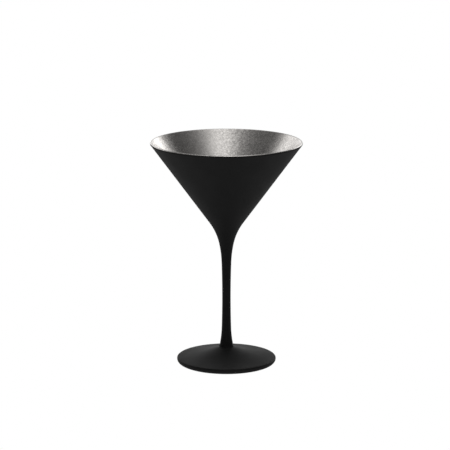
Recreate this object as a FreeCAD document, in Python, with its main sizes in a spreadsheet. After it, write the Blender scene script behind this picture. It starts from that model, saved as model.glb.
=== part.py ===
import FreeCAD, Part
import math
import os

import Sketcher

# Martini glass: a conical bowl on a drawn stem and a spun foot, hot-fused into one glass, with a
# black lacquer sprayed over the outside and a silver lacquer sprayed inside the bowl.
#
# Frame: +Z up, origin at the centre of the foot's contact ring, millimetres.
# Every piece is turned about Z. A section lies in its body's XZ plane: sketch x is the radius,
# sketch y is the height. The visible outline is the lacquer's; the glass lies one coat deeper.

DOC = FreeCAD.newDocument("martini_glass")

SIZES = {
    # bowl
    "total_height": (173.0, "foot contact ring to top of lip"),
    "rim_radius": (58.0, "outermost point of the lip"),
    "lip_radius": (1.0, "half-round lip, half the coated wall thickness"),
    "wall_slope": (36.26, "cone wall from vertical, degrees"),
    "cavity_round": (5.0, "rounding at the bottom of the cone, inside"),
    "coat": (0.15, "thickness of either lacquer"),
    "lip_seam_slope": (30.0, "where silver meets black on the lip, degrees above outward"),
    # seam of bowl and stem, on the visible outline
    "bowl_seam_radius": (5.51, "radius at the seam"),
    "bowl_seam_height": (93.55, "height of the seam"),
    "bowl_seam_slope": (12.0, "outline from vertical at the seam, degrees"),
    # stem
    "stem_radius": (3.26, "thinnest point of the stem"),
    "waist_height": (51.8, "height of the thinnest point"),
    "waist_bend": (788.0, "bend radius of the long middle of the stem"),
    # seam of stem and foot, on the visible outline
    "foot_seam_radius": (5.375, "radius at the seam"),
    "foot_seam_height": (12.76, "height of the seam"),
    "foot_seam_slope": (11.82, "outline from vertical at the seam, degrees"),
    # foot
    "foot_radius": (38.2, "outermost point of the foot"),
    "foot_slope": (6.9, "fall of the foot's top where it meets the shoulder, degrees"),
    "foot_bend": (136.0, "radius of the foot's slightly hollow top"),
    "shoulder_height": (3.15, "height of the centre of the shoulder's rounding"),
    "shoulder_round": (1.0, "rounding from the foot's top to its side"),
    "edge_round": (2.85, "rounding from the foot's side to the contact ring"),
    "contact_radius": (31.0, "inner radius of the flat contact ring"),
    "dome_height": (1.6, "rise of the hollow underside at its centre"),
}

GLASS_DENSITY = 2.5e-3  # grams per cubic millimetre


def make_sheet():
    """The driving dimensions, one row each: alias, value, meaning."""
    sheet = DOC.addObject("Spreadsheet::Sheet", "Sizes")
    for row, (alias, (value, meaning)) in enumerate(SIZES.items(), start=1):
        sheet.set("A%d" % row, alias)
        sheet.set("B%d" % row, str(value))
        sheet.set("C%d" % row, meaning)
        sheet.setAlias("B%d" % row, alias)
    DOC.recompute()
    return sheet


SHEET = make_sheet()


def size(alias):
    return float(getattr(SHEET, alias))


def polar(centre, radius, degrees):
    """The point at a radius and an angle, counter-clockwise from outward, about a centre."""
    angle = math.radians(degrees)
    return FreeCAD.Vector(
        centre.x + radius * math.cos(angle),
        centre.y + radius * math.sin(angle),
        0,
    )


# ---------------------------------------------------------------- where the outline goes
# The sketches below are drawn at these places and then held there by their constraints.

COAT = size("coat")
WALL_SLOPE = size("wall_slope")
BOWL_SEAM_SLOPE = size("bowl_seam_slope")
FOOT_SEAM_SLOPE = size("foot_seam_slope")
FOOT_SLOPE = size("foot_slope")
SILVER_START = size("lip_seam_slope")
SILVER_END = 180 - WALL_SLOPE
LEFTWARD = 180

LIP_CENTRE = FreeCAD.Vector(
    size("rim_radius") - size("lip_radius"),
    size("total_height") - size("lip_radius"),
    0,
)
BOWL_SEAM = FreeCAD.Vector(size("bowl_seam_radius"), size("bowl_seam_height"), 0)
FOOT_SEAM = FreeCAD.Vector(size("foot_seam_radius"), size("foot_seam_height"), 0)
SHOULDER_CENTRE = FreeCAD.Vector(
    size("foot_radius") - size("shoulder_round"),
    size("shoulder_height"),
    0,
)
EDGE_CENTRE = FreeCAD.Vector(
    size("foot_radius") - size("edge_round"),
    size("edge_round"),
    0,
)
WAIST_CENTRE = FreeCAD.Vector(
    size("stem_radius") + size("waist_bend"),
    size("waist_height"),
    0,
)


def bend_to_line(start, heading, point, line_heading):
    """Centre and radius of the arc that leaves start along heading and runs into a line."""
    forward = polar(FreeCAD.Vector(), 1, heading)
    normal = polar(FreeCAD.Vector(), 1, line_heading + 90)
    reach = (point - start).dot(normal) / forward.dot(normal)
    half_turn = math.radians(line_heading - heading) / 2
    radius = reach / math.tan(abs(half_turn))
    side = math.copysign(90, half_turn)
    return polar(start, radius, heading + side), radius


def bend_to_arc(start, towards_centre, centre, radius):
    """Centre and radius of the arc from start that runs into a wider arc from inside it."""
    forward = polar(FreeCAD.Vector(), 1, towards_centre)
    gap = start - centre
    bend = (radius ** 2 - gap.dot(gap)) / (2 * (forward.dot(gap) + radius))
    return polar(start, bend, towards_centre), bend


def heading_from(centre, point):
    """Direction of a point seen from a centre, 0 to 360 degrees."""
    return math.degrees(math.atan2(point.y - centre.y, point.x - centre.x)) % 360


WALL_START = polar(LIP_CENTRE, size("lip_radius"), -WALL_SLOPE)
NECK_CENTRE, NECK_BEND = bend_to_line(
    BOWL_SEAM, 90 - BOWL_SEAM_SLOPE, WALL_START, 90 - WALL_SLOPE)

STEM_TOP_CENTRE, STEM_TOP_BEND = bend_to_arc(
    BOWL_SEAM, -BOWL_SEAM_SLOPE, WAIST_CENTRE, size("waist_bend"))
STEM_FLARE_CENTRE, STEM_FLARE_BEND = bend_to_arc(
    FOOT_SEAM, FOOT_SEAM_SLOPE, WAIST_CENTRE, size("waist_bend"))
WAIST_TOP = heading_from(WAIST_CENTRE, STEM_TOP_CENTRE)
WAIST_BOTTOM = heading_from(WAIST_CENTRE, STEM_FLARE_CENTRE)

TOP_EDGE = polar(SHOULDER_CENTRE, size("shoulder_round"), 90 - FOOT_SLOPE)
TOP_CENTRE = polar(TOP_EDGE, size("foot_bend"), 90 - FOOT_SLOPE)
FILLET_CENTRE, FILLET_BEND = bend_to_arc(
    FOOT_SEAM, FOOT_SEAM_SLOPE, TOP_CENTRE, size("foot_bend"))
FILLET_FOOT = heading_from(TOP_CENTRE, FILLET_CENTRE)

CAVITY_ROUND = size("cavity_round")
INNER_WALL = polar(LIP_CENTRE, size("lip_radius"), SILVER_END)
CAVITY_CENTRE = FreeCAD.Vector(
    0,
    INNER_WALL.y
    - INNER_WALL.x / math.tan(math.radians(WALL_SLOPE))
    + CAVITY_ROUND / math.sin(math.radians(WALL_SLOPE)),
    0,
)

RING_RADIUS = size("contact_radius")
DOME_HEIGHT = size("dome_height")
DOME_RADIUS = (RING_RADIUS ** 2 + DOME_HEIGHT ** 2) / (2 * DOME_HEIGHT)
DOME_CENTRE = FreeCAD.Vector(0, DOME_HEIGHT - DOME_RADIUS, 0)


# ---------------------------------------------------------------- sections

ORIGIN = (-1, 1)
VERTICAL_AXIS = -2


class Edge:
    """One line or arc of a section, and which of its ends the outline reaches first."""

    def __init__(self, index, first=1, last=2):
        self.index = index
        self.start = (index, first)
        self.end = (index, last)
        self.centre = (index, 3)


class Section:
    """A closed half-section of a turned piece: edges end to end, then constraints."""

    def __init__(self, label):
        self.body = DOC.addObject("PartDesign::Body", label)
        self.body.Label = label
        self.sketch = self.body.newObject("Sketcher::SketchObject", label + "_section")
        planes = self.body.Origin.OriginFeatures
        plane = next(item for item in planes if item.Role == "XZ_Plane")
        self.sketch.AttachmentSupport = [(plane, "")]
        self.sketch.MapMode = "FlatFace"
        self.at = None

    def move_to(self, point):
        self.at = point

    def line(self, end):
        index = self.sketch.addGeometry(Part.LineSegment(self.at, end), False)
        self.at = end
        return Edge(index)

    def arc(self, centre, radius, start_angle, end_angle):
        """An arc by its angles about the centre: falling angles run clockwise."""
        low, high = sorted((start_angle, end_angle))
        circle = Part.Circle(centre, FreeCAD.Vector(0, 0, 1), radius)
        shape = Part.ArcOfCircle(circle, math.radians(low), math.radians(high))
        index = self.sketch.addGeometry(shape, False)
        self.at = polar(centre, radius, end_angle)
        if end_angle > start_angle:
            return Edge(index)
        return Edge(index, first=2, last=1)

    def ray(self, start, end):
        """A construction line, to carry a slope or a coat's thickness."""
        return Edge(self.sketch.addGeometry(Part.LineSegment(start, end), True))

    def hold(self, kind, *arguments):
        return self.sketch.addConstraint(Sketcher.Constraint(kind, *arguments))

    def corner(self, first, second):
        self.hold("Coincident", *first.end, *second.start)

    def smooth(self, *edges):
        for first, second in zip(edges, edges[1:]):
            self.hold("Tangent", *first.end, *second.start)

    def same(self, first, second):
        self.hold("Coincident", *first, *second)

    def on(self, point, edge):
        self.hold("PointOnObject", *point, edge.index)

    def on_axis(self, point):
        self.hold("PointOnObject", *point, VERTICAL_AXIS)

    def level(self, edge):
        self.hold("Horizontal", edge.index)

    def upright(self, edge):
        self.hold("Vertical", edge.index)

    def bind(self, constraint, name, formula):
        self.sketch.renameConstraint(constraint, name)
        self.sketch.setExpression("Constraints." + name, formula)

    def radius(self, edge, name, formula):
        shape = self.sketch.Geometry[edge.index]
        self.bind(self.hold("Radius", edge.index, shape.Radius), name, formula)

    def slope(self, edge, name, formula):
        shape = self.sketch.Geometry[edge.index]
        run = shape.EndPoint - shape.StartPoint
        angle = math.atan2(run.y, run.x)
        self.bind(self.hold("Angle", edge.index, angle), name, formula)

    def length(self, edge, name, formula):
        shape = self.sketch.Geometry[edge.index]
        self.bind(self.hold("Distance", edge.index, shape.length()), name, formula)

    def out(self, point, name, formula):
        """Distance of a point from the axis."""
        place = self.sketch.getPoint(*point)
        self.bind(self.hold("DistanceX", *ORIGIN, *point, place.x), name, formula)

    def up(self, point, name, formula):
        """Height of a point."""
        place = self.sketch.getPoint(*point)
        self.bind(self.hold("DistanceY", *ORIGIN, *point, place.y), name, formula)

    def turn(self):
        """Turn the finished section about the vertical axis."""
        DOC.recompute()
        if not self.sketch.FullyConstrained:
            raise RuntimeError(self.sketch.Label + " is not fully constrained")
        turned = self.body.newObject("PartDesign::Revolution", self.body.Label + "_turned")
        turned.Profile = self.sketch
        turned.ReferenceAxis = (self.sketch, ["V_Axis"])
        turned.Angle = 360
        self.sketch.Visibility = False
        DOC.recompute()
        return self.body


def hold_lip(section, lip):
    section.out(lip.centre, "lip_out", "Sizes.rim_radius - Sizes.lip_radius")
    section.up(lip.centre, "lip_up", "Sizes.total_height - Sizes.lip_radius")


def hold_bowl_seam(section, ray):
    """A ray from the glass to the lacquer's surface, square to both, where bowl meets stem."""
    section.out(ray.end, "bowl_seam_out", "Sizes.bowl_seam_radius")
    section.up(ray.end, "bowl_seam_up", "Sizes.bowl_seam_height")
    section.slope(ray, "bowl_seam_slope", "-Sizes.bowl_seam_slope")


def hold_foot_seam(section, ray):
    """The same ray where stem meets foot."""
    section.out(ray.end, "foot_seam_out", "Sizes.foot_seam_radius")
    section.up(ray.end, "foot_seam_up", "Sizes.foot_seam_height")
    section.slope(ray, "foot_seam_slope", "Sizes.foot_seam_slope")


def bowl_glass():
    section = Section("bowl_glass")
    seam_edge = polar(BOWL_SEAM, COAT, LEFTWARD - BOWL_SEAM_SLOPE)
    lip_round = size("lip_radius") - COAT
    cavity_round = CAVITY_ROUND + COAT
    section.move_to(FreeCAD.Vector(0, seam_edge.y, 0))
    seam = section.line(seam_edge)
    neck = section.arc(
        NECK_CENTRE, NECK_BEND + COAT, LEFTWARD - BOWL_SEAM_SLOPE, LEFTWARD - WALL_SLOPE)
    wall = section.line(polar(LIP_CENTRE, lip_round, -WALL_SLOPE))
    lip = section.arc(LIP_CENTRE, lip_round, -WALL_SLOPE, SILVER_END)
    inner_wall = section.line(polar(CAVITY_CENTRE, cavity_round, -WALL_SLOPE))
    cavity = section.arc(CAVITY_CENTRE, cavity_round, -WALL_SLOPE, -90)
    axis = section.line(FreeCAD.Vector(0, seam_edge.y, 0))
    coat_ray = section.ray(seam_edge, BOWL_SEAM)

    section.corner(seam, neck)
    section.smooth(neck, wall, lip, inner_wall, cavity)
    section.corner(cavity, axis)
    section.corner(axis, seam)
    section.level(seam)
    section.on_axis(axis.start)
    section.on_axis(axis.end)
    section.on_axis(cavity.centre)
    section.same(coat_ray.start, neck.start)
    section.on(neck.centre, coat_ray)
    section.hold("Parallel", wall.index, inner_wall.index)
    hold_lip(section, lip)
    hold_bowl_seam(section, coat_ray)
    section.length(coat_ray, "coat", "Sizes.coat")
    section.slope(wall, "wall_slope", "90 - Sizes.wall_slope")
    section.radius(lip, "lip_round", "Sizes.lip_radius - Sizes.coat")
    section.radius(cavity, "cavity_round", "Sizes.cavity_round + Sizes.coat")
    return section.turn()


def bowl_lacquer():
    section = Section("bowl_lacquer")
    lip_round = size("lip_radius")
    section.move_to(polar(BOWL_SEAM, COAT, LEFTWARD - BOWL_SEAM_SLOPE))
    seam = section.line(BOWL_SEAM)
    neck = section.arc(
        NECK_CENTRE, NECK_BEND, LEFTWARD - BOWL_SEAM_SLOPE, LEFTWARD - WALL_SLOPE)
    wall = section.line(WALL_START)
    lip = section.arc(LIP_CENTRE, lip_round, -WALL_SLOPE, SILVER_START)
    lip_seam = section.line(polar(LIP_CENTRE, lip_round - COAT, SILVER_START))
    glass_lip = section.arc(LIP_CENTRE, lip_round - COAT, SILVER_START, -WALL_SLOPE)
    glass_wall = section.line(polar(NECK_CENTRE, NECK_BEND + COAT, LEFTWARD - WALL_SLOPE))
    glass_neck = section.arc(
        NECK_CENTRE, NECK_BEND + COAT, LEFTWARD - WALL_SLOPE, LEFTWARD - BOWL_SEAM_SLOPE)

    section.corner(seam, neck)
    section.smooth(neck, wall, lip)
    section.corner(lip, lip_seam)
    section.corner(lip_seam, glass_lip)
    section.smooth(glass_lip, glass_wall, glass_neck)
    section.corner(glass_neck, seam)
    section.same(glass_lip.centre, lip.centre)
    section.same(glass_neck.centre, neck.centre)
    section.on(neck.centre, seam)
    section.on(lip.centre, lip_seam)
    hold_lip(section, lip)
    hold_bowl_seam(section, seam)
    section.length(seam, "coat", "Sizes.coat")
    section.slope(wall, "wall_slope", "90 - Sizes.wall_slope")
    section.slope(lip_seam, "lip_seam_slope", "Sizes.lip_seam_slope - 180")
    section.radius(lip, "lip_round", "Sizes.lip_radius")
    section.radius(glass_lip, "glass_lip_round", "Sizes.lip_radius - Sizes.coat")
    return section.turn()


def bowl_silver_lining():
    section = Section("bowl_silver_lining")
    lip_round = size("lip_radius")
    section.move_to(polar(LIP_CENTRE, lip_round - COAT, SILVER_START))
    lip_seam = section.line(polar(LIP_CENTRE, lip_round, SILVER_START))
    lip = section.arc(LIP_CENTRE, lip_round, SILVER_START, SILVER_END)
    wall = section.line(polar(CAVITY_CENTRE, CAVITY_ROUND, -WALL_SLOPE))
    cavity = section.arc(CAVITY_CENTRE, CAVITY_ROUND, -WALL_SLOPE, -90)
    axis = section.line(polar(CAVITY_CENTRE, CAVITY_ROUND + COAT, -90))
    glass_cavity = section.arc(CAVITY_CENTRE, CAVITY_ROUND + COAT, -90, -WALL_SLOPE)
    glass_wall = section.line(polar(LIP_CENTRE, lip_round - COAT, SILVER_END))
    glass_lip = section.arc(LIP_CENTRE, lip_round - COAT, SILVER_END, SILVER_START)

    section.corner(lip_seam, lip)
    section.smooth(lip, wall, cavity)
    section.corner(cavity, axis)
    section.corner(axis, glass_cavity)
    section.smooth(glass_cavity, glass_wall, glass_lip)
    section.corner(glass_lip, lip_seam)
    section.same(glass_lip.centre, lip.centre)
    section.same(glass_cavity.centre, cavity.centre)
    section.on(lip.centre, lip_seam)
    section.on_axis(cavity.centre)
    section.on_axis(axis.start)
    section.on_axis(axis.end)
    hold_lip(section, lip)
    section.slope(lip_seam, "lip_seam_slope", "Sizes.lip_seam_slope")
    section.slope(wall, "wall_slope", "-90 - Sizes.wall_slope")
    section.radius(lip, "lip_round", "Sizes.lip_radius")
    section.radius(glass_lip, "glass_lip_round", "Sizes.lip_radius - Sizes.coat")
    section.radius(cavity, "cavity_round", "Sizes.cavity_round")
    section.radius(glass_cavity, "glass_cavity_round", "Sizes.cavity_round + Sizes.coat")
    return section.turn()


def hold_waist(section, waist):
    section.out(waist.centre, "waist_out", "Sizes.stem_radius + Sizes.waist_bend")
    section.up(waist.centre, "waist_up", "Sizes.waist_height")


def stem_outline(section, depth, upward):
    """The stem's three arcs, a depth below the visible outline, in the order of travel."""
    arcs = [
        (STEM_FLARE_CENTRE, STEM_FLARE_BEND, LEFTWARD + FOOT_SEAM_SLOPE, WAIST_BOTTOM),
        (WAIST_CENTRE, size("waist_bend"), WAIST_BOTTOM, WAIST_TOP),
        (STEM_TOP_CENTRE, STEM_TOP_BEND, WAIST_TOP, LEFTWARD - BOWL_SEAM_SLOPE),
    ]
    if upward:
        return [section.arc(centre, bend + depth, low, high) for centre, bend, low, high in arcs]
    return [
        section.arc(centre, bend + depth, high, low)
        for centre, bend, low, high in reversed(arcs)
    ]


def stem_glass():
    section = Section("stem_glass")
    foot_edge = polar(FOOT_SEAM, COAT, LEFTWARD + FOOT_SEAM_SLOPE)
    bowl_edge = polar(BOWL_SEAM, COAT, LEFTWARD - BOWL_SEAM_SLOPE)
    section.move_to(FreeCAD.Vector(0, foot_edge.y, 0))
    foot_seam = section.line(foot_edge)
    flare, waist, top = stem_outline(section, COAT, upward=True)
    bowl_seam = section.line(FreeCAD.Vector(0, bowl_edge.y, 0))
    axis = section.line(FreeCAD.Vector(0, foot_edge.y, 0))
    foot_ray = section.ray(foot_edge, FOOT_SEAM)
    bowl_ray = section.ray(bowl_edge, BOWL_SEAM)

    section.corner(foot_seam, flare)
    section.smooth(flare, waist, top)
    section.corner(top, bowl_seam)
    section.corner(bowl_seam, axis)
    section.corner(axis, foot_seam)
    section.level(foot_seam)
    section.level(bowl_seam)
    section.on_axis(axis.start)
    section.on_axis(axis.end)
    section.same(foot_ray.start, flare.start)
    section.same(bowl_ray.start, top.end)
    section.on(flare.centre, foot_ray)
    section.on(top.centre, bowl_ray)
    hold_waist(section, waist)
    section.radius(waist, "waist_bend", "Sizes.waist_bend + Sizes.coat")
    hold_foot_seam(section, foot_ray)
    hold_bowl_seam(section, bowl_ray)
    section.length(foot_ray, "foot_coat", "Sizes.coat")
    section.length(bowl_ray, "bowl_coat", "Sizes.coat")
    return section.turn()


def stem_lacquer():
    section = Section("stem_lacquer")
    section.move_to(polar(FOOT_SEAM, COAT, LEFTWARD + FOOT_SEAM_SLOPE))
    foot_seam = section.line(FOOT_SEAM)
    flare, waist, top = stem_outline(section, 0, upward=True)
    bowl_seam = section.line(polar(BOWL_SEAM, COAT, LEFTWARD - BOWL_SEAM_SLOPE))
    glass_top, glass_waist, glass_flare = stem_outline(section, COAT, upward=False)
    bowl_ray = section.ray(polar(BOWL_SEAM, COAT, LEFTWARD - BOWL_SEAM_SLOPE), BOWL_SEAM)

    section.corner(foot_seam, flare)
    section.smooth(flare, waist, top)
    section.corner(top, bowl_seam)
    section.corner(bowl_seam, glass_top)
    section.smooth(glass_top, glass_waist, glass_flare)
    section.corner(glass_flare, foot_seam)
    section.same(glass_top.centre, top.centre)
    section.same(glass_waist.centre, waist.centre)
    section.same(glass_flare.centre, flare.centre)
    section.same(bowl_ray.end, top.end)
    section.same(bowl_ray.start, glass_top.start)
    section.on(flare.centre, foot_seam)
    section.on(top.centre, bowl_ray)
    hold_waist(section, waist)
    section.radius(waist, "waist_bend", "Sizes.waist_bend")
    hold_foot_seam(section, foot_seam)
    hold_bowl_seam(section, bowl_ray)
    section.length(bowl_ray, "coat", "Sizes.coat")
    return section.turn()


def foot_outline(section, depth):
    """Underside, edge, top and fillet of the foot, a depth below the visible outline."""
    section.move_to(FreeCAD.Vector(0, DOME_HEIGHT + depth, 0))
    dome_centre = FreeCAD.Vector(0, DOME_CENTRE.y + depth, 0)
    ring_angle = heading_from(DOME_CENTRE, FreeCAD.Vector(RING_RADIUS, 0, 0))
    dome = section.arc(dome_centre, DOME_RADIUS, 90, ring_angle)
    ring = section.line(FreeCAD.Vector(EDGE_CENTRE.x, depth, 0))
    edge = section.arc(EDGE_CENTRE, size("edge_round") - depth, -90, 0)
    side = section.line(FreeCAD.Vector(size("foot_radius") - depth, SHOULDER_CENTRE.y, 0))
    shoulder = section.arc(
        SHOULDER_CENTRE, size("shoulder_round") - depth, 0, 90 - FOOT_SLOPE)
    fall = section.ray(SHOULDER_CENTRE, section.at)
    top = section.arc(TOP_CENTRE, size("foot_bend") + depth, 270 - FOOT_SLOPE, FILLET_FOOT)
    fillet = section.arc(
        FILLET_CENTRE, FILLET_BEND + depth, FILLET_FOOT, LEFTWARD + FOOT_SEAM_SLOPE)
    section.corner(dome, ring)
    section.smooth(ring, edge, side, shoulder, top, fillet)
    section.on_axis(dome.centre)
    section.on_axis(dome.start)
    section.level(ring)
    section.upright(side)
    section.same(fall.start, shoulder.centre)
    section.same(fall.end, shoulder.end)
    return dome, ring, edge, side, shoulder, fall, top, fillet


def hold_foot(section, outline, prefix, depth):
    """Sizes of one foot outline. depth is the formula of its depth below the visible one."""
    dome, ring, edge, side, shoulder, fall, top, fillet = outline
    section.out(ring.start, prefix + "ring_out", "Sizes.contact_radius")
    section.up(ring.start, prefix + "ring_up", depth)
    section.up(dome.start, prefix + "dome_up", "Sizes.dome_height + " + depth)
    section.radius(edge, prefix + "edge_round", "Sizes.edge_round - " + depth)
    section.out(side.start, prefix + "side_out", "Sizes.foot_radius - " + depth)
    section.up(shoulder.centre, prefix + "shoulder_up", "Sizes.shoulder_height")
    section.radius(shoulder, prefix + "shoulder_round", "Sizes.shoulder_round - " + depth)
    section.slope(fall, prefix + "foot_slope", "90 - Sizes.foot_slope")
    section.radius(top, prefix + "foot_bend", "Sizes.foot_bend + " + depth)


def foot_glass():
    section = Section("foot_glass")
    outline = foot_outline(section, COAT)
    dome, fillet = outline[0], outline[-1]
    seam_edge = section.at
    seam = section.line(FreeCAD.Vector(0, seam_edge.y, 0))
    axis = section.line(FreeCAD.Vector(0, DOME_HEIGHT + COAT, 0))
    coat_ray = section.ray(seam_edge, FOOT_SEAM)

    section.corner(fillet, seam)
    section.corner(seam, axis)
    section.corner(axis, dome)
    section.level(seam)
    section.on_axis(axis.start)
    section.same(coat_ray.start, fillet.end)
    section.on(fillet.centre, coat_ray)
    hold_foot(section, outline, "", "Sizes.coat")
    hold_foot_seam(section, coat_ray)
    section.length(coat_ray, "coat", "Sizes.coat")
    return section.turn()


def foot_lacquer():
    section = Section("foot_lacquer")
    outline = foot_outline(section, 0)
    glass_outline = foot_outline(section, COAT)
    dome, fillet = outline[0], outline[-1]
    glass_dome, glass_fillet = glass_outline[0], glass_outline[-1]
    seam = section.line(FOOT_SEAM)
    section.move_to(FreeCAD.Vector(0, DOME_HEIGHT, 0))
    axis = section.line(FreeCAD.Vector(0, DOME_HEIGHT + COAT, 0))

    section.same(seam.start, glass_fillet.end)
    section.same(seam.end, fillet.end)
    section.same(axis.start, dome.start)
    section.same(axis.end, glass_dome.start)
    section.same(glass_fillet.centre, fillet.centre)
    section.on(fillet.centre, seam)
    hold_foot(section, outline, "", "0")
    hold_foot(section, glass_outline, "glass_", "Sizes.coat")
    hold_foot_seam(section, seam)
    return section.turn()


# ---------------------------------------------------------------- build, check, write

BODIES = [
    bowl_glass(),
    stem_glass(),
    foot_glass(),
    bowl_silver_lining(),
    bowl_lacquer(),
    stem_lacquer(),
    foot_lacquer(),
]


def check():
    """Stop on any object that failed to build, before anything is written."""
    for item in DOC.Objects:
        if "Invalid" in item.State or "Error" in item.State:
            raise RuntimeError("%s failed: %s" % (item.Label, item.State))
    for body in BODIES:
        if body.Shape.isNull() or not body.Shape.isValid() or len(body.Shape.Solids) != 1:
            raise RuntimeError(body.Label + " is not one valid solid")


def write():
    os.makedirs("parts", exist_ok=True)
    for body in BODIES:
        body.Shape.exportStep("parts/%s.step" % body.Label)


DOC.recompute()
check()
write()
for body in BODIES:
    print("%-20s %9.1f mm3" % (body.Label, body.Shape.Volume))
print("glass mass %.1f g" % (GLASS_DENSITY * sum(body.Shape.Volume for body in BODIES[:3])))
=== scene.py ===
import math

import bmesh
import bpy
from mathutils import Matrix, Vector


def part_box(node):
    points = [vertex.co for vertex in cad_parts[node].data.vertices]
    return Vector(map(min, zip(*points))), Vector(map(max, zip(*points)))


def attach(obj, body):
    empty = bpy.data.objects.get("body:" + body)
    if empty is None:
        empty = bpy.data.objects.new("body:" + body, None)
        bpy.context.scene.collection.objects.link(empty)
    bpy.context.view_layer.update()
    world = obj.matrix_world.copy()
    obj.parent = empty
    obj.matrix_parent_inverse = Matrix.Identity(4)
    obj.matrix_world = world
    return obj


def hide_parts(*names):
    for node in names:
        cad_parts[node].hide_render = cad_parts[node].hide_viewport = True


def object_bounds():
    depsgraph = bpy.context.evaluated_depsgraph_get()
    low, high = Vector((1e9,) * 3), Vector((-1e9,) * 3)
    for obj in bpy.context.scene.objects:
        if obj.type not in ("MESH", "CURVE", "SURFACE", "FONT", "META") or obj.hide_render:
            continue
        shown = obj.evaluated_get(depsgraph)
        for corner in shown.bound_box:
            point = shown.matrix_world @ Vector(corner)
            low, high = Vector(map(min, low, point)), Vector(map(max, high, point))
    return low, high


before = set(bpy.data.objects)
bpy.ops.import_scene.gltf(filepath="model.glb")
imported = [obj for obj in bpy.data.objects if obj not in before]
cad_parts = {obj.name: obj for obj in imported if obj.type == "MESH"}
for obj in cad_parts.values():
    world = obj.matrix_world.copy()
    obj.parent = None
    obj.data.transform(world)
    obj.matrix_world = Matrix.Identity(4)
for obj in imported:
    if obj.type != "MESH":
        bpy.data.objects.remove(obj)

# Martini glass: black lacquer outside, silver lacquer inside the bowl, clear glass between.
# Metres, +Z up, every piece turned about Z. A section point is (radius, height).

CAD_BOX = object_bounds()
MM = 0.001

# ---------------------------------------------------------------- sizes
# Overall sizes are read from the frame; slopes and roundings are the design's own.

FOOT_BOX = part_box("foot_lacquer")
TOTAL_HEIGHT = CAD_BOX[1].z
RIM_RADIUS = CAD_BOX[1].x
FOOT_RADIUS = FOOT_BOX[1].x
FOOT_SEAM_HEIGHT = FOOT_BOX[1].z
COAT = RIM_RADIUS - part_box("bowl_glass")[1].x

LIP_RADIUS = 1.0 * MM
WALL_SLOPE = 36.26
LIP_SEAM_SLOPE = 30.0
CAVITY_ROUND = 5.0 * MM
BOWL_SEAM = Vector((5.51, 93.55)) * MM
BOWL_SEAM_SLOPE = 12.0
WAIST = Vector((3.26, 51.8)) * MM
WAIST_BEND = 788.0 * MM
FOOT_SEAM = Vector((5.375 * MM, FOOT_SEAM_HEIGHT))
FOOT_SEAM_SLOPE = 11.82
FOOT_SLOPE = 6.9
FOOT_BEND = 136.0 * MM
SHOULDER_HEIGHT = 3.15 * MM
SHOULDER_ROUND = 1.0 * MM
EDGE_ROUND = 2.85 * MM
CONTACT_RADIUS = 31.0 * MM
DOME_HEIGHT = 1.6 * MM

AROUND = 288          # faces round the axis
ARC_STEP = 3.0        # degrees between section points on a tight rounding
LONG_STEP = 2.5 * MM  # spacing of section points on straight and nearly straight runs


# ---------------------------------------------------------------- section geometry

def polar(centre, radius, degrees):
    angle = math.radians(degrees)
    return centre + Vector((math.cos(angle), math.sin(angle))) * radius


def bend_to_line(start, heading, point, line_heading):
    """Centre and radius of the arc that leaves start along heading and runs into a line."""
    forward = polar(Vector((0, 0)), 1, heading)
    normal = polar(Vector((0, 0)), 1, line_heading + 90)
    reach = (point - start).dot(normal) / forward.dot(normal)
    half_turn = math.radians(line_heading - heading) / 2
    radius = reach / math.tan(abs(half_turn))
    return polar(start, radius, heading + math.copysign(90, half_turn)), radius


def bend_to_arc(start, towards_centre, centre, radius):
    """Centre and radius of the arc from start that runs into a wider arc from inside it."""
    forward = polar(Vector((0, 0)), 1, towards_centre)
    gap = start - centre
    bend = (radius ** 2 - gap.dot(gap)) / (2 * (forward.dot(gap) + radius))
    return polar(start, bend, towards_centre), bend


def heading_from(centre, point):
    return math.degrees(math.atan2(point.y - centre.y, point.x - centre.x)) % 360


def arc(centre, radius, start_angle, end_angle):
    """Section points along an arc, both ends included."""
    turn = abs(end_angle - start_angle)
    steps = max(
        math.ceil(turn / ARC_STEP),
        math.ceil(math.radians(turn) * radius / LONG_STEP),
    )
    return [
        polar(centre, radius, start_angle + (end_angle - start_angle) * i / steps)
        for i in range(steps + 1)
    ]


def line(start, end):
    """Section points along a line, both ends included."""
    steps = max(1, math.ceil((end - start).length / LONG_STEP))
    return [start.lerp(end, i / steps) for i in range(steps + 1)]


LIP_CENTRE = Vector((RIM_RADIUS - LIP_RADIUS, TOTAL_HEIGHT - LIP_RADIUS))
WALL_TOP = polar(LIP_CENTRE, LIP_RADIUS, -WALL_SLOPE)
NECK_CENTRE, NECK_BEND = bend_to_line(
    BOWL_SEAM, 90 - BOWL_SEAM_SLOPE, WALL_TOP, 90 - WALL_SLOPE)
INNER_WALL_TOP = polar(LIP_CENTRE, LIP_RADIUS, 180 - WALL_SLOPE)
CAVITY_CENTRE = Vector((
    0,
    INNER_WALL_TOP.y
    - INNER_WALL_TOP.x / math.tan(math.radians(WALL_SLOPE))
    + CAVITY_ROUND / math.sin(math.radians(WALL_SLOPE)),
))

WAIST_CENTRE = WAIST + Vector((WAIST_BEND, 0))
STEM_TOP_CENTRE, STEM_TOP_BEND = bend_to_arc(
    BOWL_SEAM, -BOWL_SEAM_SLOPE, WAIST_CENTRE, WAIST_BEND)
FLARE_CENTRE, FLARE_BEND = bend_to_arc(
    FOOT_SEAM, FOOT_SEAM_SLOPE, WAIST_CENTRE, WAIST_BEND)
WAIST_TOP = heading_from(WAIST_CENTRE, STEM_TOP_CENTRE)
WAIST_BOTTOM = heading_from(WAIST_CENTRE, FLARE_CENTRE)

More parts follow.
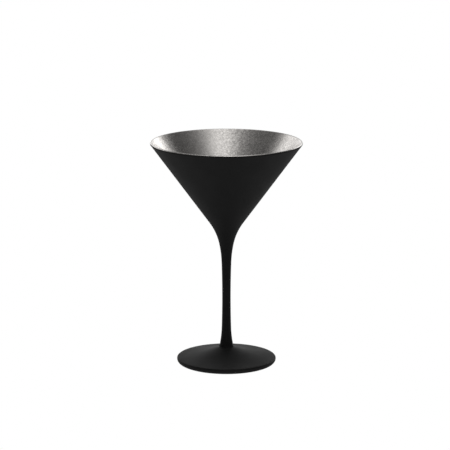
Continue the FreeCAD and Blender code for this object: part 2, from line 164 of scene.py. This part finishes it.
SHOULDER_CENTRE = Vector((FOOT_RADIUS - SHOULDER_ROUND, SHOULDER_HEIGHT))
EDGE_CENTRE = Vector((FOOT_RADIUS - EDGE_ROUND, EDGE_ROUND))
TOP_EDGE = polar(SHOULDER_CENTRE, SHOULDER_ROUND, 90 - FOOT_SLOPE)
TOP_CENTRE = polar(TOP_EDGE, FOOT_BEND, 90 - FOOT_SLOPE)
FILLET_CENTRE, FILLET_BEND = bend_to_arc(
    FOOT_SEAM, FOOT_SEAM_SLOPE, TOP_CENTRE, FOOT_BEND)
FILLET_FOOT = heading_from(TOP_CENTRE, FILLET_CENTRE)
DOME_RADIUS = (CONTACT_RADIUS ** 2 + DOME_HEIGHT ** 2) / (2 * DOME_HEIGHT)
DOME_CENTRE = Vector((0, DOME_HEIGHT - DOME_RADIUS))


def bowl_outside(depth):
    """Neck, wall and outer part of the lip, upwards, a depth under the visible surface."""
    low = 180 - BOWL_SEAM_SLOPE
    high = 180 - WALL_SLOPE
    return [
        arc(NECK_CENTRE, NECK_BEND + depth, low, high),
        line(
            polar(NECK_CENTRE, NECK_BEND + depth, high),
            polar(LIP_CENTRE, LIP_RADIUS - depth, -WALL_SLOPE)),
        arc(LIP_CENTRE, LIP_RADIUS - depth, -WALL_SLOPE, LIP_SEAM_SLOPE),
    ]


def bowl_inside(depth):
    """Inner part of the lip, inner wall and cavity bottom, downwards."""
    return [
        arc(LIP_CENTRE, LIP_RADIUS - depth, LIP_SEAM_SLOPE, 180 - WALL_SLOPE),
        line(
            polar(LIP_CENTRE, LIP_RADIUS - depth, 180 - WALL_SLOPE),
            polar(CAVITY_CENTRE, CAVITY_ROUND + depth, -WALL_SLOPE)),
        arc(CAVITY_CENTRE, CAVITY_ROUND + depth, -WALL_SLOPE, -90),
    ]


def stem_outside(depth):
    """Flare, waist and top of the stem, upwards."""
    return [
        arc(FLARE_CENTRE, FLARE_BEND + depth, 180 + FOOT_SEAM_SLOPE, WAIST_BOTTOM),
        arc(WAIST_CENTRE, WAIST_BEND + depth, WAIST_BOTTOM, WAIST_TOP),
        arc(STEM_TOP_CENTRE, STEM_TOP_BEND + depth, WAIST_TOP, 180 - BOWL_SEAM_SLOPE),
    ]


def foot_outside(depth):
    """Hollow underside, contact ring, edge, top and fillet of the foot, upwards."""
    ring_angle = heading_from(DOME_CENTRE, Vector((CONTACT_RADIUS, 0)))
    return [
        arc(DOME_CENTRE + Vector((0, depth)), DOME_RADIUS, 90, ring_angle),
        line(Vector((CONTACT_RADIUS, depth)), Vector((EDGE_CENTRE.x, depth))),
        arc(EDGE_CENTRE, EDGE_ROUND - depth, -90, 0),
        line(
            polar(EDGE_CENTRE, EDGE_ROUND - depth, 0),
            polar(SHOULDER_CENTRE, SHOULDER_ROUND - depth, 0)),
        arc(SHOULDER_CENTRE, SHOULDER_ROUND - depth, 0, 90 - FOOT_SLOPE),
        arc(TOP_CENTRE, FOOT_BEND + depth, 270 - FOOT_SLOPE, FILLET_FOOT),
        arc(FILLET_CENTRE, FILLET_BEND + depth, FILLET_FOOT, 180 + FOOT_SEAM_SLOPE),
    ]


# ---------------------------------------------------------------- turned shells

TOUCHING = 1e-7   # two section points this near are one
SHARP_EDGE = 40   # degrees: the cut ends of a coat stay crisp


def join(runs):
    """One list of section points from runs laid end to end."""
    points = []
    for point in (point for run in runs for point in run):
        if not points or (point - points[-1]).length > TOUCHING:
            points.append(point)
    return points


def turned_shell(name, outline):
    """A coat of lacquer: its visible and its glass side, turned about Z, closed at both ends."""
    section = join(outline(0)) + join(outline(COAT))[::-1]
    mesh = bmesh.new()
    rings = []
    for point in section:
        if point.x < TOUCHING:
            rings.append([mesh.verts.new((0, 0, point.y))] * AROUND)
            continue
        rings.append([
            mesh.verts.new((
                point.x * math.cos(math.tau * i / AROUND),
                point.x * math.sin(math.tau * i / AROUND),
                point.y))
            for i in range(AROUND)
        ])
    for lower, upper in zip(rings, rings[1:] + rings[:1]):
        for i in range(AROUND):
            after = (i + 1) % AROUND
            corners = list(dict.fromkeys((lower[i], lower[after], upper[after], upper[i])))
            if len(corners) > 2:
                mesh.faces.new(corners)
    bmesh.ops.recalc_face_normals(mesh, faces=mesh.faces)
    data = bpy.data.meshes.new(name)
    mesh.to_mesh(data)
    mesh.free()
    data.shade_smooth()
    data.set_sharp_from_angle(angle=math.radians(SHARP_EDGE))
    piece = bpy.data.objects.new(name, data)
    bpy.context.scene.collection.objects.link(piece)
    return piece


# ---------------------------------------------------------------- materials

class Nodes:
    """Shorthand for building a node tree."""

    def __init__(self, owner):
        owner.use_nodes = True
        self.tree = owner.node_tree
        self.tree.nodes.clear()

    def add(self, kind, settings=None, **inputs):
        node = self.tree.nodes.new(kind)
        for key, value in (settings or {}).items():
            setattr(node, key, value)
        for key, value in inputs.items():
            socket = node.inputs[key.replace("_", " ")]
            if isinstance(value, bpy.types.NodeSocket):
                self.tree.links.new(value, socket)
            else:
                socket.default_value = value
        return node

    def link(self, source, target):
        self.tree.links.new(source, target)

    def math(self, operation, first, second=None):
        node = self.add("ShaderNodeMath", {"operation": operation})
        for socket, value in zip(node.inputs, (first, second)):
            if isinstance(value, bpy.types.NodeSocket):
                self.link(value, socket)
            elif value is not None:
                socket.default_value = value
        return node.outputs[0]

    def ramp(self, value, low, high, start=0.0, end=1.0):
        """A smooth step from start to end as value goes from low to high."""
        node = self.add("ShaderNodeMapRange", {"interpolation_type": "SMOOTHSTEP"})
        self.link(value, node.inputs["Value"])
        node.inputs["From Min"].default_value = low
        node.inputs["From Max"].default_value = high
        node.inputs["To Min"].default_value = start
        node.inputs["To Max"].default_value = end
        return node.outputs["Result"]


# Texture scales are in features per metre.
TOOTH_SCALE = 2600.0
CLOUD_SCALE = 55.0
FLAKE_SCALE = 1200.0
CLUMP_SCALE = 420.0
CORD_SCALE = 90.0

BLACK_PAINT = (0.0104, 0.0104, 0.0106, 1)
SILVER_DARK = (0.465, 0.448, 0.431, 1)
SILVER_LIGHT = (0.713, 0.688, 0.663, 1)
FLAKE_TILT = 0.045   # spread of the flakes' normals
GLASS_TINT = (0.96, 0.98, 0.97, 1)
WHITE_LIGHT = (1, 1, 1, 1)


def black_lacquer():
    """Matt black spray lacquer: a fine soft-touch tooth and slightly uneven gloss."""
    material = bpy.data.materials.new("matt_black")
    nodes = Nodes(material)
    place = nodes.add("ShaderNodeTexCoord").outputs["Object"]
    tooth = nodes.add("ShaderNodeTexNoise", Vector=place, Scale=TOOTH_SCALE, Detail=2.0)
    cloud = nodes.add("ShaderNodeTexNoise", Vector=place, Scale=CLOUD_SCALE, Detail=3.0)
    bump = nodes.add(
        "ShaderNodeBump", Height=tooth.outputs["Fac"], Strength=0.12, Distance=0.00006)
    roughness = nodes.ramp(cloud.outputs["Fac"], 0.3, 0.7, 0.6, 0.66)
    shader = nodes.add(
        "ShaderNodeBsdfPrincipled",
        Base_Color=BLACK_PAINT,
        Roughness=roughness,
        Normal=bump.outputs["Normal"])
    shader.inputs["Specular IOR Level"].default_value = 0.25
    output = nodes.add("ShaderNodeOutputMaterial")
    nodes.link(shader.outputs["BSDF"], output.inputs["Surface"])
    return material


def silver_lacquer():
    """Satin metallic lacquer: fine aluminium flakes, each a little lighter or darker and tilted."""
    material = bpy.data.materials.new("satin_silver")
    nodes = Nodes(material)
    place = nodes.add("ShaderNodeTexCoord").outputs["Object"]
    flakes = nodes.add("ShaderNodeTexVoronoi", Vector=place, Scale=FLAKE_SCALE)
    clumps = nodes.add("ShaderNodeTexNoise", Vector=place, Scale=CLUMP_SCALE, Detail=2.0)
    lean = nodes.add(
        "ShaderNodeVectorMath", {"operation": "MULTIPLY_ADD"}, Vector=flakes.outputs["Color"])
    lean.inputs[1].default_value = (FLAKE_TILT,) * 3
    lean.inputs[2].default_value = (-FLAKE_TILT / 2,) * 3
    level = nodes.add("ShaderNodeNewGeometry").outputs["Normal"]
    leaning = nodes.add("ShaderNodeVectorMath", {"operation": "ADD"})
    nodes.link(level, leaning.inputs[0])
    nodes.link(lean.outputs[0], leaning.inputs[1])
    normal = nodes.add("ShaderNodeVectorMath", {"operation": "NORMALIZE"})
    nodes.link(leaning.outputs[0], normal.inputs[0])
    glint = nodes.add("ShaderNodeSeparateColor", Color=flakes.outputs["Color"]).outputs["Red"]
    light = nodes.math("ADD", glint, clumps.outputs["Fac"])
    tone = nodes.add("ShaderNodeMix", {"data_type": "RGBA"})
    nodes.link(nodes.ramp(light, 0.4, 1.6), tone.inputs["Factor"])
    tone.inputs[6].default_value = SILVER_DARK
    tone.inputs[7].default_value = SILVER_LIGHT
    shader = nodes.add(
        "ShaderNodeBsdfPrincipled",
        Base_Color=tone.outputs[2],
        Metallic=1.0,
        Roughness=0.27,
        Normal=normal.outputs[0])
    output = nodes.add("ShaderNodeOutputMaterial")
    nodes.link(shader.outputs["BSDF"], output.inputs["Surface"])
    return material


def clear_glass():
    """The fused glass under the lacquers."""
    material = bpy.data.materials.new("drawn_glass")
    nodes = Nodes(material)
    place = nodes.add("ShaderNodeTexCoord").outputs["Object"]
    cords = nodes.add("ShaderNodeTexNoise", Vector=place, Scale=CORD_SCALE, Detail=1.0)
    bump = nodes.add(
        "ShaderNodeBump", Height=cords.outputs["Fac"], Strength=0.05, Distance=0.0002)
    shader = nodes.add(
        "ShaderNodeBsdfPrincipled",
        Base_Color=GLASS_TINT,
        Roughness=0.02,
        IOR=1.5,
        Normal=bump.outputs["Normal"])
    shader.inputs["Transmission Weight"].default_value = 1.0
    output = nodes.add("ShaderNodeOutputMaterial")
    nodes.link(shader.outputs["BSDF"], output.inputs["Surface"])
    return material


BLACK = black_lacquer()
SILVER = silver_lacquer()
GLASS = clear_glass()


# ---------------------------------------------------------------- pieces

def coat(name, outline, material, node):
    piece = turned_shell(name, outline)
    piece.data.materials.append(material)
    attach(piece, "root")
    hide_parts(node)
    return piece


coat("bowl_black_coat", bowl_outside, BLACK, "bowl_lacquer")
coat("stem_black_coat", stem_outside, BLACK, "stem_lacquer")
coat("foot_black_coat", foot_outside, BLACK, "foot_lacquer")
coat("bowl_silver_coat", bowl_inside, SILVER, "bowl_silver_lining")

for node in ("bowl_glass", "stem_glass", "foot_glass"):
    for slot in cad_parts[node].material_slots:
        slot.material = GLASS


# ---------------------------------------------------------------- stage

FLOOR_RADIUS = 3.0
BACKDROP_RADIUS = 5.0
GLOW_RADIUS = 2.0
GLOW_DEPTH = 0.05 * MM   # the glow lies this far under the floor
GLOW = 0.4               # radiance of the floor as the glass sees it
AMBIENT = 0.006
OVERHEAD = 0.18
OVERHEAD_FROM = 0.3      # height of direction at which it starts to brighten


def disc(mesh, radius):
    bmesh.ops.create_circle(mesh, cap_ends=True, segments=96, radius=radius)


def inward_sphere(mesh, radius):
    bmesh.ops.create_uvsphere(mesh, u_segments=48, v_segments=24, radius=radius)
    bmesh.ops.reverse_faces(mesh, faces=mesh.faces)


def stage_mesh(name, build, radius, material):
    mesh = bmesh.new()
    build(mesh, radius)
    data = bpy.data.meshes.new(name)
    mesh.to_mesh(data)
    mesh.free()
    data.materials.append(material)
    thing = bpy.data.objects.new(name, data)
    bpy.context.scene.collection.objects.link(thing)
    return thing


def seen_only(thing):
    """Seen by the camera, but it neither lights the glass nor shows in it."""
    thing.visible_diffuse = False
    thing.visible_glossy = False
    thing.visible_transmission = False
    thing.visible_shadow = False


def white_stage():
    """A pale stage, exposed to white. Its underside lets the camera see the foot from below."""
    material = bpy.data.materials.new("stage_white")
    nodes = Nodes(material)
    side = nodes.add("ShaderNodeNewGeometry").outputs["Backfacing"]
    white = nodes.add("ShaderNodeEmission", Color=WHITE_LIGHT, Strength=1.0)
    clear = nodes.add("ShaderNodeBsdfTransparent")
    mix = nodes.add("ShaderNodeMixShader", Fac=side)
    nodes.link(white.outputs[0], mix.inputs[1])
    nodes.link(clear.outputs[0], mix.inputs[2])
    output = nodes.add("ShaderNodeOutputMaterial")
    nodes.link(mix.outputs[0], output.inputs["Surface"])
    return material


def glowing_floor():
    """The pale floor's light on the glass."""
    material = bpy.data.materials.new("floor_glow")
    nodes = Nodes(material)
    shine = nodes.add("ShaderNodeEmission", Color=WHITE_LIGHT, Strength=GLOW)
    output = nodes.add("ShaderNodeOutputMaterial")
    nodes.link(shine.outputs[0], output.inputs["Surface"])
    return material


WHITE = white_stage()
seen_only(stage_mesh("floor", disc, FLOOR_RADIUS, WHITE))
seen_only(stage_mesh("backdrop", inward_sphere, BACKDROP_RADIUS, WHITE))

# The floor as the glass sees it. The camera looks through it.
glow = stage_mesh("floor_glow", disc, GLOW_RADIUS, glowing_floor())
glow.location.z = -GLOW_DEPTH
glow.visible_camera = False


# ---------------------------------------------------------------- light

# Soft lights of the studio, far away, set to simple values. Azimuth (0 right, 90 behind)
# and elevation are in degrees, and width and height are half-widths in radians. Radiance is at
# the middle, the camera's white being 1.
LIGHTS = {
    "high_front": dict(azimuth=-75, elevation=70, width=0.3, height=0.35, radiance=1.4),
    "right_rear": dict(azimuth=60, elevation=15, width=0.3, height=0.25, radiance=2.5),
    "left_rear": dict(azimuth=135, elevation=25, width=0.35, height=0.2, radiance=1.5),
    "low_rear": dict(azimuth=105, elevation=5, width=0.35, height=0.3, radiance=1.5),
    "overhead": dict(azimuth=90, elevation=80, width=0.3, height=0.2, radiance=1.5),
}


def soft_light(nodes, direction, azimuth, elevation, width, height, radiance):
    """A light that is brightest in the middle and fades out like a bell."""
    turn = math.radians(azimuth)
    rise = math.radians(elevation)
    aim = Vector((math.cos(rise) * math.cos(turn), math.cos(rise) * math.sin(turn), math.sin(rise)))
    across = Vector((-math.sin(turn), math.cos(turn), 0))
    along = aim.cross(across)

    def towards(axis):
        node = nodes.add("ShaderNodeVectorMath", {"operation": "DOT_PRODUCT"})
        nodes.link(direction, node.inputs[0])
        node.inputs[1].default_value = axis
        return node.outputs["Value"]

    sideways = nodes.math("POWER", nodes.math("ABSOLUTE", towards(across / width)), 2.0)
    upwards = nodes.math("POWER", nodes.math("ABSOLUTE", towards(along / height)), 2.0)
    fade = nodes.math("POWER", 1 / math.e, nodes.math("ADD", sideways, upwards))
    facing = nodes.math("GREATER_THAN", towards(aim), 0.0)
    return nodes.math("MULTIPLY", nodes.math("MULTIPLY", fade, facing), radiance)


def studio_world():
    """Faint ambient light, brighter overhead, and the soft lights."""
    world = bpy.data.worlds.new("studio")
    bpy.context.scene.world = world
    nodes = Nodes(world)
    direction = nodes.add("ShaderNodeTexCoord").outputs["Generated"]
    height = nodes.add("ShaderNodeSeparateXYZ", Vector=direction).outputs["Z"]
    strength = nodes.ramp(height, OVERHEAD_FROM, 1.0, AMBIENT, OVERHEAD)
    for light in LIGHTS.values():
        strength = nodes.math("ADD", strength, soft_light(nodes, direction, **light))
    background = nodes.add("ShaderNodeBackground", Color=WHITE_LIGHT, Strength=strength)
    output = nodes.add("ShaderNodeOutputWorld")
    nodes.link(background.outputs[0], output.inputs["Surface"])


studio_world()


# ---------------------------------------------------------------- camera

CAMERA_DISTANCE = 1.706
CAMERA_HEIGHT = 0.485
CAMERA_SIDE = -0.0011
CAMERA_DOWN = 12.453
LENS = 182.6


def camera():
    data = bpy.data.cameras.new("camera")
    data.sensor_width = 36.0
    data.lens = LENS
    data.clip_start = 0.05
    data.clip_end = 20.0
    eye = bpy.data.objects.new("camera", data)
    eye.location = (CAMERA_SIDE, -CAMERA_DISTANCE, CAMERA_HEIGHT)
    eye.rotation_euler = (math.radians(90 - CAMERA_DOWN), 0, 0)
    bpy.context.scene.collection.objects.link(eye)
    bpy.context.scene.camera = eye


camera()
bpy.context.scene.view_settings.view_transform = "Standard"
